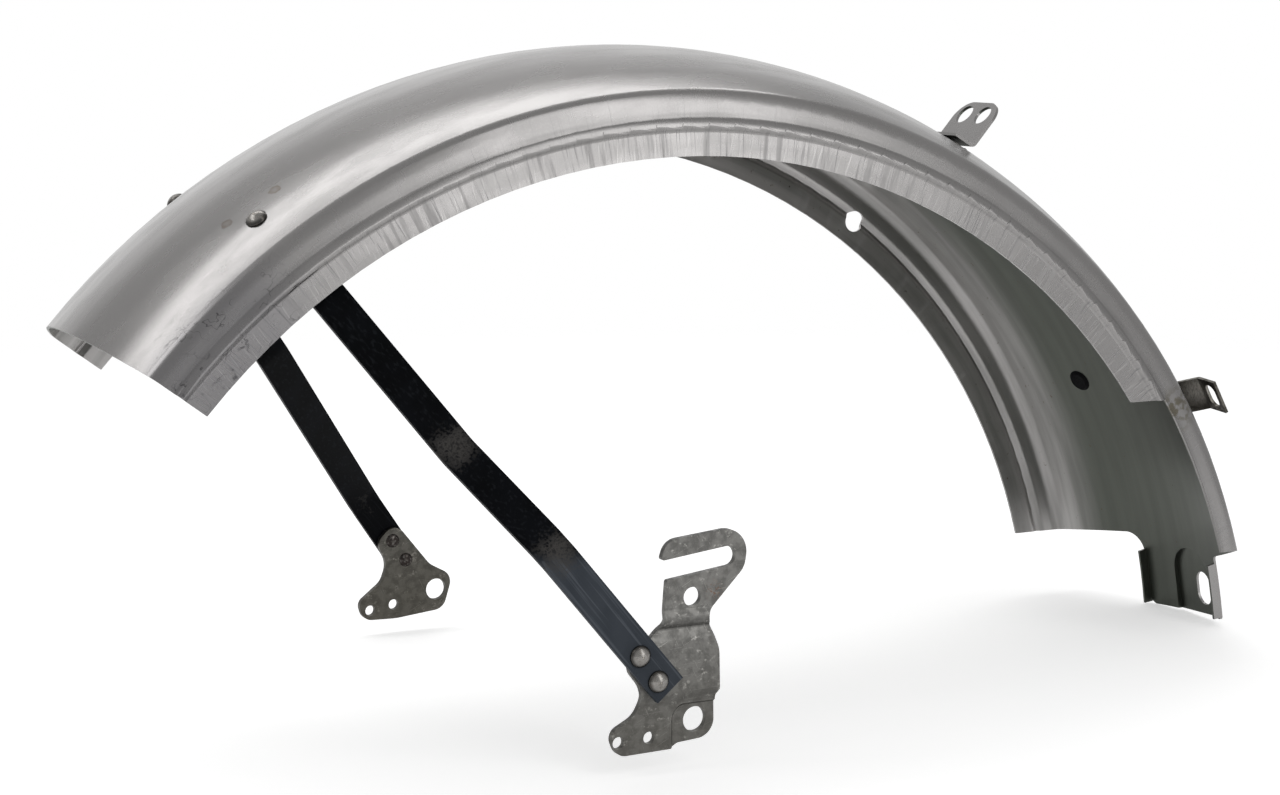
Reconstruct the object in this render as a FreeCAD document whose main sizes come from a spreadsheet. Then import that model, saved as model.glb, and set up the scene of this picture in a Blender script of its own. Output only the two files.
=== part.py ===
import FreeCAD
import Part
import Sketcher
import math
import os

# Motorcycle rear fender, millimetres.
# +X is the motorcycle's front, +Y its left side, +Z up.
# The origin is on the axis of the frame bolt that passes through both side plates,
# halfway between them.  The fender is a pressed sheet steel arch about the wheel,
# carried at the rear by one bent flat bar that is riveted under the crown and
# ends on the two side plates.

V = FreeCAD.Vector

SIZES = {
    # wheel arch, seen from the frame bolt
    "arch_center_x": 34.5,
    "arch_center_z": -68.1,
    "rim_radius": 327.0,
    "crown_height": 52.6,
    "fender_width": 178.0,
    "crown_curve": 188.0,
    "shoulder_radius": 9.0,
    "sheet": 1.5,
    # rolled bead above the skirt
    "skirt_depth": 12.1,
    "bead_rise": 3.0,
    "bead_radius": 2.5,
    "bead_blend": 2.0,
    "wall_inset": 0.5,
    # ends of the arch, angles about the wheel axis from +X
    "rear_angle": 138.6,
    "rear_rake": 4.3,
    "front_angle": 6.0,
    "near_cut_height": 189.0,
    "strip_depth": 18.6,
    "far_cut_height": 80.3,
    "far_cut_rise": 8.5,
    "strip_end_height": 87.0,
    "strip_end_rise": 19.0,
    # tongue at the front of the crown
    "tongue_left": 28.5,
    "tongue_right": 41.2,
    "tongue_low": 45.2,
    "tongue_slant": 4.3,
    "tongue_blend": 11.0,
    "tongue_corner": 6.0,
    "flange_depth": 4.5,
    "flange_span": 5.0,
    "emboss_rise": 2.4,
    "emboss_width": 38.0,
    "emboss_offset": 14.0,
    "emboss_top": 13.4,
    "emboss_low": 5.8,
    "slot_width": 13.0,
    "slot_length": 20.0,
    "slot_offset": 21.3,
    "slot_angle": 9.7,
    # holes in the shell
    "side_hole": 12.0,
    "side_hole_x": 199.3,
    "side_hole_z": 276.0,
    "plug_hole": 10.0,
    "plug_head": 13.5,
    "plug_head_rise": 1.6,
    "plug_angle": 29.0,
    "plug_offset": 41.0,
    # flat bar stay
    "bar_width": 17.0,
    "bar_thick": 3.2,
    "stay_angle": 125.0,
    "stay_corner": 3.2,
    "stay_half_inside": 80.0,
    "stay_right_elbow": 121.0,
    "stay_right_elbow_radius": 240.0,
    "stay_right_foot_radius": 191.0,
    "stay_left_knee_radius": 272.0,
    "stay_left_foot_radius": 143.0,
    "elbow_bend": 18.0,
    "edge_bend": 60.0,
    # side plates
    "plate_spacing": 324.6,
    "plate_thick": 3.2,
    "foot_recess": 1.5,
    "step_slope": 40.0,
    "barrel_rise": 1.6,
    "hook_rise": 2.0,
    "neck_bead_rise": 1.8,
    "bolt_hole": 12.1,
    "neck_hole": 9.2,
    "small_hole": 5.9,
    "hook_slot": 9.6,
    # rivets
    "rivet_shank": 5.4,
    "rivet_head": 10.5,
    "rivet_rise": 3.4,
    "rivet_tail": 7.9,
    "rivet_tail_rise": 1.0,
    "rivet_clearance": 0.1,
    "crown_rivet_offset": 62.6,
    "doubler_thick": 1.5,
    "doubler_inner": 48.0,
    "doubler_outer": 70.0,
    "doubler_length": 46.0,
    "seat_gap": 0.2,
    # ear on the crown
    "ear_width": 38.5,
    "ear_height": 32.2,
    "ear_thick": 1.6,
    "ear_angle": 58.6,
    "ear_lean": 48.6,
    "ear_offset": 16.5,
    "ear_corner": 11.5,
    "ear_hole": 11.6,
    "ear_hole_pitch": 17.3,
    "ear_hole_drop": 8.6,
    "ear_foot": 13.0,
    # clip at the front of the crown
    "clip_thick": 1.6,
    "clip_length": 20.0,
    "clip_angle": 28.9,
    "clip_slot_width": 8.5,
    "clip_slot_length": 14.0,
}

doc = FreeCAD.newDocument("RearFender")
sheet = doc.addObject("Spreadsheet::Sheet", "Sizes")
for row, (name, value) in enumerate(SIZES.items(), start=1):
    sheet.set("A%d" % row, name)
    sheet.set("B%d" % row, str(value))
    sheet.setAlias("B%d" % row, name)
doc.recompute()


def size(name):
    return float(sheet.get(name))


def polar(radius, angle, y=0.0):
    return V(radius * math.cos(math.radians(angle)), y, radius * math.sin(math.radians(angle)))


def frame(origin, across, normal):
    """Placement with its own x along `across` and its own z along `normal`."""
    z = V(normal).normalize()
    x = V(across)
    x = (x - z * x.dot(z)).normalize()
    y = z.cross(x)
    return FreeCAD.Placement(origin, FreeCAD.Rotation(x, y, z, "ZXY"))


def turned(angle):
    """Sketch offset that turns the Y-Z plane about Y until its height lies at `angle`."""
    return FreeCAD.Placement(V(0, 0, 0), FreeCAD.Rotation(V(1, 0, 0), 90.0 - angle))


# Outlines: corners are (x, y, radius); runs between them are straight and each
# radius is laid in tangent to both runs.

def rounded(corners, closed=True):
    count = len(corners)
    joints = []
    for i, (x, y, radius) in enumerate(corners):
        here = V(x, y, 0)
        inner = closed or 0 < i < count - 1
        if not inner or radius <= 0:
            joints.append((here, here, None))
            continue
        before = V(corners[i - 1][0], corners[i - 1][1], 0)
        after = V(corners[(i + 1) % count][0], corners[(i + 1) % count][1], 0)
        back = (before - here).normalize()
        ahead = (after - here).normalize()
        half = 0.5 * back.getAngle(ahead)
        if abs(half - math.pi / 2) < 1e-6:
            joints.append((here, here, None))
            continue
        reach = radius / math.tan(half)
        center = here + (back + ahead).normalize() * (radius / math.sin(half))
        joints.append((here + back * reach, here + ahead * reach, center))
    pieces = []
    steps = count if closed else count - 1
    for i in range(count):
        start, end, center = joints[i]
        if center is not None:
            pieces.append(arc(center, start, end))
        if i < steps:
            following = joints[(i + 1) % count][0]
            if end.distanceToPoint(following) > 1e-6:
                pieces.append((Part.LineSegment(end, following), 1, 2))
    return pieces


def arc(center, start, end):
    """Shorter arc from start to end; a sketch keeps arcs counter-clockwise."""
    radius = center.distanceToPoint(start)
    a = math.atan2(start.y - center.y, start.x - center.x)
    b = math.atan2(end.y - center.y, end.x - center.x)
    circle = Part.Circle(center, V(0, 0, 1), radius)
    if (b - a) % (2 * math.pi) < math.pi:
        return (Part.ArcOfCircle(circle, a, a + (b - a) % (2 * math.pi)), 1, 2)
    return (Part.ArcOfCircle(circle, b, b + (a - b) % (2 * math.pi)), 2, 1)


def strip(line, thick):
    """Closed outline of a bent strip: line is its middle, as (x, y, bend radius)."""
    half = 0.5 * thick
    sides = []
    for sign in (1, -1):
        side = []
        for i, (x, y, radius) in enumerate(line):
            here = V(x, y, 0)
            back = here - V(line[i - 1][0], line[i - 1][1], 0) if i else None
            ahead = V(line[i + 1][0], line[i + 1][1], 0) - here if i < len(line) - 1 else None
            back = V(back or ahead).normalize()
            ahead = V(ahead or back).normalize()
            left = V(-back.y - ahead.y, back.x + ahead.x, 0).normalize()
            miter = left.dot(V(-back.y, back.x, 0))
            turn = back.x * ahead.y - back.y * ahead.x
            point = here + left * (sign * half / miter)
            bend = radius - sign * half * (1 if turn > 0 else -1) if radius else 0
            side.append((point.x, point.y, bend))
        sides.append(side)
    return sides[0] + sides[1][::-1]


def draw(sketch, pieces):
    """Add connected pieces to a sketch and join them end to end."""
    first = sketch.GeometryCount
    for geometry, start, end in pieces:
        sketch.addGeometry(geometry, False)
    count = len(pieces)
    for i in range(count):
        j = (i + 1) % count
        sketch.addConstraint(
            Sketcher.Constraint("Coincident", first + i, pieces[i][2], first + j, pieces[j][1])
        )
        arcs = [hasattr(p[0], "Radius") for p in (pieces[i], pieces[j])]
        if arcs[0] and not arcs[1]:
            sketch.addConstraint(Sketcher.Constraint("Block", first + j))


def circle(sketch, x, y, alias):
    """Circle whose diameter follows a named size."""
    index = sketch.addGeometry(Part.Circle(V(x, y, 0), V(0, 0, 1), size(alias) / 2), False)
    sketch.addConstraint(Sketcher.Constraint("Diameter", index, size(alias)))
    sketch.setExpression("Constraints[%d]" % (sketch.ConstraintCount - 1), "Sizes." + alias)
    return index


def body(label):
    made = doc.addObject("PartDesign::Body", label)
    made.Label = label
    return made


def sketch_on(owner, role, name, offset=None):
    made = owner.newObject("Sketcher::SketchObject", name)
    plane = [f for f in owner.Origin.OriginFeatures if f.Role == role][0]
    made.AttachmentSupport = [(plane, "")]
    made.MapMode = "FlatFace"
    if offset is not None:
        made.AttachmentOffset = offset
    return made


def feature(owner, kind, name, sketch, **settings):
    made = owner.newObject("PartDesign::" + kind, name)
    made.Profile = sketch
    for key, value in settings.items():
        setattr(made, key, value)
    sketch.Visibility = False
    return made


def volume(owner):
    doc.recompute()
    return owner.Shape.Volume


ARCH = ("Sizes.arch_center_x", "Sizes.arch_center_z")


def place_on_arch(made):
    """Put a sub-part that is drawn about the wheel axis into the part's own frame."""
    made.setExpression(".Placement.Base.x", ARCH[0])
    made.setExpression(".Placement.Base.z", ARCH[1])


# Fender shell: one closed section swept about the wheel axis, hollowed to sheet,
# then trimmed and pierced.

half_width = size("fender_width") / 2
rim = size("rim_radius")
thick = size("sheet")
crown_outer = rim + size("crown_height")
crown_curve = size("crown_curve")
crown_middle = crown_outer - crown_curve
wall = half_width - size("wall_inset")


def crown_radius(y, depth=0.0):
    """Radius of the crown surface at sideways position y, `depth` below the outside."""
    return crown_middle + math.sqrt((crown_curve - depth) ** 2 - y * y)


def crown_frame(angle, y, lift=0.0):
    """Frame on the crown, own x along +Y, own z straight out of the crown."""
    tilt = math.degrees(math.asin(y / crown_curve))
    out = polar(math.cos(math.radians(tilt)), angle, math.sin(math.radians(tilt)))
    origin = polar(crown_radius(y), angle, y) + out * lift
    return frame(origin, V(0, 1, 0), out)


shell = body("fender_shell")
section = sketch_on(shell, "YZ_Plane", "section")
shoulder = size("shoulder_radius")
shoulder_y = wall - shoulder
shoulder_z = crown_middle + math.sqrt((crown_curve - shoulder) ** 2 - shoulder_y ** 2)
bead_low = rim + size("skirt_depth")
bead_mid = bead_low + size("bead_rise")
bead_top = bead_mid + size("bead_rise") + size("wall_inset")
side = [
    (half_width, rim, 0),
    (half_width, bead_low, size("bead_blend")),
    (half_width + size("bead_rise"), bead_mid, size("bead_radius")),
    (wall, bead_top, size("bead_blend")),
    (wall, shoulder_z, 0),
]
other = [(-y, z, radius) for y, z, radius in side[::-1]]
corner = V(shoulder_y, shoulder_z, 0)
middle = V(0, crown_middle, 0)
meet = middle + (corner - middle).normalize() * crown_curve
mirrored = V(-meet.x, meet.y, 0)
profile = rounded(side, closed=False)
profile.append(arc(corner, V(wall, shoulder_z, 0), meet))
profile.append(arc(middle, meet, mirrored))
profile.append(arc(V(-corner.x, corner.y, 0), mirrored, V(-wall, shoulder_z, 0)))
profile += rounded(other, closed=False)
profile.append((Part.LineSegment(V(-half_width, rim, 0), V(half_width, rim, 0)), 1, 2))
draw(section, profile)
arch = feature(shell, "Revolution", "arch", section, Type="TwoAngles")
arch.ReferenceAxis = (section, ["H_Axis"])
arch.setExpression("Angle", "90 - Sizes.front_angle")
arch.setExpression("Angle2", "Sizes.rear_angle + 2 - 90")
doc.recompute()

open_faces = []
for index, face in enumerate(arch.Shape.Faces, start=1):
    surface = face.Surface
    if isinstance(surface, Part.Plane) and abs(surface.Axis.y) < 0.5:
        open_faces.append("Face%d" % index)
    if isinstance(surface, Part.Cylinder) and abs(surface.Radius - rim) < 1e-3:
        open_faces.append("Face%d" % index)
hollow = shell.newObject("PartDesign::Thickness", "hollow")
hollow.Base = (arch, open_faces)
hollow.setExpression("Value", "Sizes.sheet")
hollow.Reversed = True
hollow.Mode = 0
hollow.Join = 1
doc.recompute()

# rear end, raked a little off the radius
rake = size("rear_angle") + size("rear_rake")
rear = polar(rim, size("rear_angle"))
along = polar(1, rake)
past = polar(1, rake + 90)
rear_cut = sketch_on(shell, "XZ_Plane", "rear_cut")
low = rear - along * 60
high = rear + along * 120
corners = [low, high, high + past * 90, low + past * 90]
draw(rear_cut, rounded([(c.x, c.z, 0) for c in corners]))
feature(shell, "Pocket", "rear_end", rear_cut, Type="ThroughAll", Midplane=True)

# front end on the right side: the wall is cut level, and only a strip of it
# goes on down beside the tongue
strip_rim = rim + size("strip_depth")
level = size("near_cut_height")
strip_start = V(math.sqrt(strip_rim ** 2 - level ** 2), level, 0)
strip_stop = V(math.sqrt(strip_rim ** 2 - 20.0 ** 2), 20.0, 0)
near_cut = sketch_on(shell, "XZ_Plane", "near_cut", FreeCAD.Placement(V(0, 0, wall - shoulder), FreeCAD.Rotation()))
draw(near_cut, [
    (Part.LineSegment(V(200, level, 0), strip_start), 1, 2),
    arc(V(0, 0, 0), strip_start, strip_stop),
    (Part.LineSegment(strip_stop, V(200, 20, 0)), 1, 2),
    (Part.LineSegment(V(200, 20, 0), V(200, level, 0)), 1, 2),
])
near = feature(shell, "Pocket", "near_end", near_cut, Reversed=True)
near.setExpression("Length", "Sizes.shoulder_radius + 12")

# front end seen from the front: left side, tongue and the end of the strip
far = size("far_cut_height")
tongue_left = size("tongue_left")
tongue_right = -size("tongue_right")
tongue_low = size("tongue_low")
tongue_end = tongue_low + size("tongue_slant")
outside = half_width + 15
front_cut = sketch_on(shell, "YZ_Plane", "front_cut")
draw(front_cut, rounded([
    (outside, far, 0),
    (tongue_left, far + size("far_cut_rise"), size("tongue_blend")),
    (tongue_left - 1, tongue_low, size("tongue_corner")),
    (tongue_right, tongue_end, 2.0),
    (tongue_right, size("strip_end_height"), 2.5),
    (-outside, size("strip_end_height") + size("strip_end_rise"), 0),
    (-outside, -60, 0),
    (outside, -60, 0),
]))
feature(shell, "Pocket", "front_end", front_cut, Type="ThroughAll", Reversed=True)

# edges of the tongue turned in towards the wheel
flange = size("flange_depth")
for name, edge, inward, low_angle in (
    ("left_flange", tongue_left, -1, 7.1),
    ("right_flange", tongue_right, 1, 7.8),
):
    span = size("flange_span")
    lip = sketch_on(shell, "YZ_Plane", name + "_lip", turned(low_angle + span / 2))
    near_edge = edge
    far_edge = edge + inward * thick
    top = crown_radius(abs(edge), 0.4)
    base = crown_radius(abs(edge), thick) - flange
    draw(lip, rounded([
        (near_edge, base, 0),
        (far_edge, base, 0),
        (far_edge, top, 0),
        (near_edge, top, 0),
    ]))
    turn_in = feature(shell, "Revolution", name, lip, Midplane=True)
    turn_in.ReferenceAxis = (lip, ["H_Axis"])
    turn_in.setExpression("Angle", "Sizes.flange_span")

# raised pad round the slot of the tongue, pressed out from the inside
pad_offset = -size("emboss_offset")
rise = size("emboss_rise")
pad_half = size("emboss_width") / 2
pad_plane = crown_frame(size("slot_angle"), pad_offset)
pad_reach = crown_outer * math.radians(size("emboss_top") - size("slot_angle"))
pad_down = crown_outer * math.radians(size("slot_angle") - size("emboss_low"))


def pad_outline(margin):
    half = pad_half - margin
    top = pad_reach - margin
    return rounded([
        (-half, -pad_down, 0),
        (half, -pad_down, 0),
        (half, top, half * 0.9),
        (-half, top, half * 0.9),
    ])


raised = sketch_on(shell, "XY_Plane", "emboss_outer", pad_plane.multiply(
    FreeCAD.Placement(V(0, 0, rise - 0.8), FreeCAD.Rotation())))
draw(raised, pad_outline(0))
boss = feature(shell, "Pad", "emboss", raised, Reversed=True)
boss.setExpression("Length", "Sizes.emboss_rise + Sizes.sheet")
sunk = sketch_on(shell, "XY_Plane", "emboss_inner", pad_plane.multiply(
    FreeCAD.Placement(V(0, 0, rise - 0.8 - thick), FreeCAD.Rotation())))
draw(sunk, pad_outline(thick))
recess = feature(shell, "Pocket", "emboss_recess", sunk, Length=12.0)
below = sketch_on(shell, "YZ_Plane", "tongue_trim")
draw(below, rounded([
    (tongue_left + 4, tongue_low, 0),
    (tongue_right - 6, tongue_end + 0.4, 0),
    (tongue_right - 6, -40, 0),
    (tongue_left + 4, -40, 0),
]))
feature(shell, "Pocket", "tongue_end", below, Type="ThroughAll", Reversed=True)

slot = sketch_on(shell, "XY_Plane", "tongue_slot", crown_frame(size("slot_angle"), -size("slot_offset"), 12.0))
slot_half = size("slot_width") / 2
slot_run = size("slot_length") / 2
draw(slot, rounded([
    (-slot_half, -slot_run, slot_half * 0.999),
    (slot_half, -slot_run, slot_half * 0.999),
    (slot_half, slot_run, slot_half * 0.999),
    (-slot_half, slot_run, slot_half * 0.999),
]))
feature(shell, "Pocket", "slot", slot, Length=24.0)

# holes: one in the left wall, one for the plug and two for the crown rivets
side_hole = sketch_on(shell, "XZ_Plane", "side_hole_sketch", FreeCAD.Placement(V(0, 0, 0), FreeCAD.Rotation()))
circle(side_hole, size("side_hole_x"), size("side_hole_z"), "side_hole")
feature(shell, "Pocket", "side_hole_cut", side_hole, Type="ThroughAll")
plug_place = crown_frame(size("plug_angle"), size("plug_offset"), 5.0)
plug_hole = sketch_on(shell, "XY_Plane", "plug_hole_sketch", plug_place)
circle(plug_hole, 0, 0, "plug_hole")
feature(shell, "Pocket", "plug_hole_cut", plug_hole, Length=12.0)
stay_angle = size("stay_angle")
for name, sign in (("right", -1), ("left", 1)):
    place = crown_frame(stay_angle, sign * size("crown_rivet_offset"), 5.0)
    rivet_hole = sketch_on(shell, "XY_Plane", name + "_rivet_hole", place)
    circle(rivet_hole, 0, 0, "rivet_shank")
    feature(shell, "Pocket", name + "_rivet_cut", rivet_hole, Length=12.0)
place_on_arch(shell)

# Doublers spot welded under the crown at the two stay rivets

doubler_outer_curve = crown_curve - thick - size("seat_gap")
doubler_inner_curve = doubler_outer_curve - size("doubler_thick")
for name, sign in (("right", -1), ("left", 1)):
    doubler = body("crown_doubler_" + name)
    patch = sketch_on(doubler, "YZ_Plane", "patch_" + name, turned(stay_angle))
    ends = []
    for y in (size("doubler_inner"), size("doubler_outer")):
        ends.append((sign * y, y))
    outer_a = V(ends[0][0], crown_radius(ends[0][1], crown_curve - doubler_outer_curve), 0)
    outer_b = V(ends[1][0], crown_radius(ends[1][1], crown_curve - doubler_outer_curve), 0)
    inner_a = V(ends[0][0], crown_radius(ends[0][1], crown_curve - doubler_inner_curve), 0)
    inner_b = V(ends[1][0], crown_radius(ends[1][1], crown_curve - doubler_inner_curve), 0)
    draw(patch, [
        arc(middle, outer_a, outer_b),
        (Part.LineSegment(outer_b, inner_b), 1, 2),
        arc(middle, inner_b, inner_a),
        (Part.LineSegment(inner_a, outer_a), 1, 2),
    ])
    plate = feature(doubler, "Revolution", "plate_" + name, patch, Midplane=True)
    plate.ReferenceAxis = (patch, ["H_Axis"])
    plate.Angle = math.degrees(size("doubler_length") / crown_outer)
    place = crown_frame(stay_angle, sign * size("crown_rivet_offset"), 5.0)
    hole = sketch_on(doubler, "XY_Plane", "hole_" + name, place)
    circle(hole, 0, 0, "rivet_shank")
    feature(doubler, "Pocket", "pierce_" + name, hole, Length=14.0)
    place_on_arch(doubler)

# Stay: one flat bar bent into a hoop.  Its bends are drawn in the plane through
# the wheel axis at stay_angle, and the bar is then cut to width along each leg.

half_spacing = size("plate_spacing") / 2
bar = size("bar_thick")
leg = half_spacing + bar / 2
seat_curve = doubler_inner_curve - size("seat_gap")
bar_curve = seat_curve - bar / 2
inside = size("stay_half_inside")
tangent_y = inside - 3.1
tangent_tilt = math.asin(tangent_y / bar_curve)
apex = crown_middle + bar_curve / math.cos(tangent_tilt)
knuckle = apex - inside * math.tan(tangent_tilt)
bend = size("stay_corner")
elbow = size("elbow_bend")
hoop_line = [
    (-leg, 75.0, 0),
    (-leg, size("stay_right_foot_radius"), elbow),
    (-size("stay_right_elbow"), size("stay_right_elbow_radius"), elbow),
    (-inside - 1.0, rim + 3, elbow),
    (-inside, knuckle, bend),
    (0, apex, bar_curve),
    (inside, knuckle, bend),
    (inside, size("stay_left_knee_radius"), elbow),
    (leg, size("stay_left_foot_radius"), elbow),
    (leg, 75.0, 0),
]
stay = body("stay_hoop")
bends = sketch_on(stay, "YZ_Plane", "bends", turned(stay_angle))
draw(bends, rounded(strip(hoop_line, bar)))
feature(stay, "Pad", "bent_sheet", bends, Midplane=True, Length=90.0)


def stay_point(radius, forward):
    """X-Z point at `radius` along stay_angle and `forward` of it."""
    point = polar(radius, stay_angle) + polar(forward, stay_angle - 90)
    return (point.x, point.z)


edge = size("edge_bend")
right_line = [
    stay_point(crown_outer + 25, 0.5) + (0,),
    stay_point(crown_outer - 5, 0.5) + (edge,),
    stay_point(rim - 3, 1.7) + (edge,),
    stay_point(size("stay_right_foot_radius"), -0.1) + (edge,),
    (-50.4, 85.1, 0),
]
left_line = [
    stay_point(crown_outer + 25, 0.5) + (0,),
    stay_point(crown_outer - 5, 0.5) + (edge,),
    stay_point(size("stay_left_knee_radius"), -2.4) + (edge,),
    stay_point(size("stay_left_foot_radius"), 7.4) + (edge,),
    (-51.0, 83.7, 0),
]
for name, line, backwards in (("right", right_line, True), ("left", left_line, False)):
    trim = sketch_on(stay, "XZ_Plane", name + "_edges")
    draw(trim, rounded([(-330, 20, 0), (40, 20, 0), (40, 460, 0), (-330, 460, 0)]))
    draw(trim, rounded(strip(line, size("bar_width"))))
    feature(stay, "Pocket", name + "_width", trim, Type="ThroughAll", Reversed=backwards)

right_rivets = [(-66.1, 102.9), (-56.8, 90.0)]
left_rivets = [(-60.6, 98.6), (-52.8, 86.9)]
for name, points, backwards in (("right", right_rivets, True), ("left", left_rivets, False)):
    foot_holes = sketch_on(stay, "XZ_Plane", name + "_foot_holes")
    for x, z in points:
        circle(foot_holes, x, z, "rivet_shank")
    feature(stay, "Pocket", name + "_foot_pierce", foot_holes, Type="ThroughAll", Reversed=backwards)
for name, sign in (("right", -1), ("left", 1)):
    place = crown_frame(stay_angle, sign * size("crown_rivet_offset"), 5.0)
    hole = sketch_on(stay, "XY_Plane", name + "_crown_hole", place)
    circle(hole, 0, 0, "rivet_shank")
    feature(stay, "Pocket", name + "_crown_pierce", hole, Length=16.0)
place_on_arch(stay)

# Right side plate: a hooked plate with a barrelled middle, a raised hook above a
# pressed neck bead and a foot that is set back round the frame bolt

plate_thick = size("plate_thick")
bolt_x = -size("arch_center_x")
bolt_z = -size("arch_center_z")
face = -half_spacing + size("barrel_rise")
hook = body("hook_plate_right")
pressing = sketch_on(hook, "YZ_Plane", "pressing")
back = plate_thick / 2
hook_face = face - size("hook_rise")
bead_face = hook_face - size("neck_bead_rise")
barrel_face = -half_spacing
press_line = [
    (face + back, 40.0, 0),
    (face + back, 77.5, 5.0),
    (barrel_face + back, 82.5, 6.0),
    (barrel_face + back, 107.5, 6.0),
    (face + back, 113.5, 3.0),
    (bead_face + back, 117.5, 3.0),
    (hook_face + back, 121.8, 4.0),
    (hook_face + back, 168.0, 0),
]
draw(pressing, rounded(strip(press_line, plate_thick)))
feature(hook, "Pad", "pressed_sheet", pressing, Reversed=True, Length=110.0)

step_x = -47.5
step_z = 77.0
recess_depth = size("foot_recess")
foot_corner = 8.0
step_band = plate_thick + 0.4
at_face = FreeCAD.Placement(V(0, 0, -face), FreeCAD.Rotation())
for name, grow in (("foot_behind", step_band), ("foot_recess_cut", 0.0)):
    step = sketch_on(hook, "XZ_Plane", name + "_sketch", at_face)
    draw(step, rounded([
        (step_x - grow, 40, 0),
        (20, 40, 0),
        (20, step_z + grow, 0),
        (step_x - grow, step_z + grow, foot_corner + grow),
    ]))
    if grow:
        foot_behind = feature(hook, "Pad", name, step, Reversed=True)
        foot_behind.setExpression("Length", "Sizes.plate_thick + Sizes.foot_recess")
        foot_behind.setExpression("TaperAngle", "-Sizes.step_slope")
    else:
        foot_front = feature(hook, "Pocket", name, step)
        foot_front.setExpression("Length", "Sizes.foot_recess")
        foot_front.setExpression("TaperAngle", "-Sizes.step_slope")
doc.recompute()

hook_outline = sketch_on(hook, "XZ_Plane", "hook_outline")
draw(hook_outline, rounded([(-140, 30, 0), (60, 30, 0), (60, 230, 0), (-140, 230, 0)]))
slot_w = size("hook_slot")
slot_tilt = math.radians(7.0)
slot_dir = V(math.cos(slot_tilt), math.sin(slot_tilt), 0)
slot_up = V(-slot_dir.y, slot_dir.x, 0)
slot_end = V(-19.7, 145.1, 0)
mouth_low = slot_end - slot_dir * 32.0 - slot_up * (slot_w / 2)
mouth_high = slot_end - slot_dir * 33.0 + slot_up * (slot_w / 2)
tip_low = slot_end + slot_dir * (slot_w / 2) - slot_up * (slot_w / 2)
tip_high = slot_end + slot_dir * (slot_w / 2) + slot_up * (slot_w / 2)
draw(hook_outline, rounded([
    (-75.6, 55.0, 6.5),
    (-47.6, 55.6, 3.0),
    (-43.6, 57.8, 3.0),
    (-24.2, 59.2, 9.0),
    (-24.6, 79.2, 1.5),
    (-22.6, 82.0, 1.5),
    (-23.0, 101.4, 14.0),
    (-30.0, 118.9, 5.0),
    (-10.2, 139.1, 10.0),
    (-6.7, 159.4, 11.5),
    (-51.2, 155.1, 8.5),
    (mouth_high.x - 1.0, mouth_high.y, 1.2),
    (tip_high.x, tip_high.y, slot_w * 0.499),
    (tip_low.x, tip_low.y, slot_w * 0.499),
    (mouth_low.x, mouth_low.y, 1.2),
    (-52.5, 115.4, 2.5),
    (-72.3, 97.6, 6.0),
    (-57.3, 77.9, 12.0),
    (-80.2, 66.4, 6.0),
]))
feature(hook, "Pocket", "hook_profile", hook_outline, Type="ThroughAll", Midplane=True)
hook_holes = sketch_on(hook, "XZ_Plane", "hook_holes")
circle(hook_holes, bolt_x, bolt_z, "bolt_hole")
circle(hook_holes, -37.6, 127.6, "neck_hole")
circle(hook_holes, -59.1, 62.3, "small_hole")
circle(hook_holes, -75.0, 61.7, "small_hole")
for x, z in right_rivets:
    circle(hook_holes, x, z, "rivet_shank")
feature(hook, "Pocket", "hook_pierce", hook_holes, Type="ThroughAll", Midplane=True)
place_on_arch(hook)

# Left side plate, flat

left = body("side_plate_left")
left_outline = sketch_on(left, "XZ_Plane", "left_outline", FreeCAD.Placement(V(0, 0, -half_spacing), FreeCAD.Rotation()))
draw(left_outline, rounded([
    (-78.8, 54.0, 7.0),
    (-59.4, 53.4, 40.0),
    (-30.0, 56.4, 8.0),
    (-24.2, 75.4, 7.5),
    (-38.2, 83.1, 14.0),
    (-59.0, 109.2, 7.0),
    (-70.4, 98.1, 7.0),
    (-64.0, 85.5, 12.0),
    (-67.7, 75.3, 10.0),
    (-82.0, 64.2, 5.5),
]))
blank = feature(left, "Pad", "blank", left_outline)
blank.setExpression("Length", "Sizes.plate_thick")
left_holes = sketch_on(left, "XZ_Plane", "left_holes")
circle(left_holes, bolt_x, bolt_z, "bolt_hole")
circle(left_holes, -60.6, 61.6, "small_hole")
circle(left_holes, -74.8, 59.4, "small_hole")
for x, z in left_rivets:
    circle(left_holes, x, z, "rivet_shank")
feature(left, "Pocket", "left_pierce", left_holes, Type="ThroughAll")
place_on_arch(left)


# Rivets: round head, shank and upset tail in one turned profile

def rivet(label, place, grip):
    """Head seat at the placement's origin, head on its +Z side."""
    made = body(label)
    turned_profile = sketch_on(made, "XZ_Plane", label + "_profile")
    head = size("rivet_head") / 2
    rise = size("rivet_rise")
    shank = size("rivet_shank") / 2 - size("rivet_clearance") / 2
    tail = size("rivet_tail") / 2
    seat = 0.02
    dome = (head * head + rise * rise) / (2 * rise)
    top = V(0, seat + rise, 0)
    rim_point = V(head, seat, 0)
    center = V(0, seat + rise - dome, 0)
    under = -grip - 0.02
    foot = under - size("rivet_tail_rise")
    points = [top, V(0, foot, 0), V(tail * 0.8, foot, 0), V(tail, under, 0)]
    points += [V(shank, under, 0), V(shank, seat, 0), rim_point]
    pieces = []
    for a, b in zip(points[:-1], points[1:]):
        pieces.append((Part.LineSegment(a, b), 1, 2))
    pieces.append(arc(center, rim_point, top))
    draw(turned_profile, pieces)
    solid = feature(made, "Revolution", label + "_turned", turned_profile)
    solid.ReferenceAxis = (turned_profile, ["V_Axis"])
    solid.Angle = 360.0
    made.Placement = place
    return made


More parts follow.
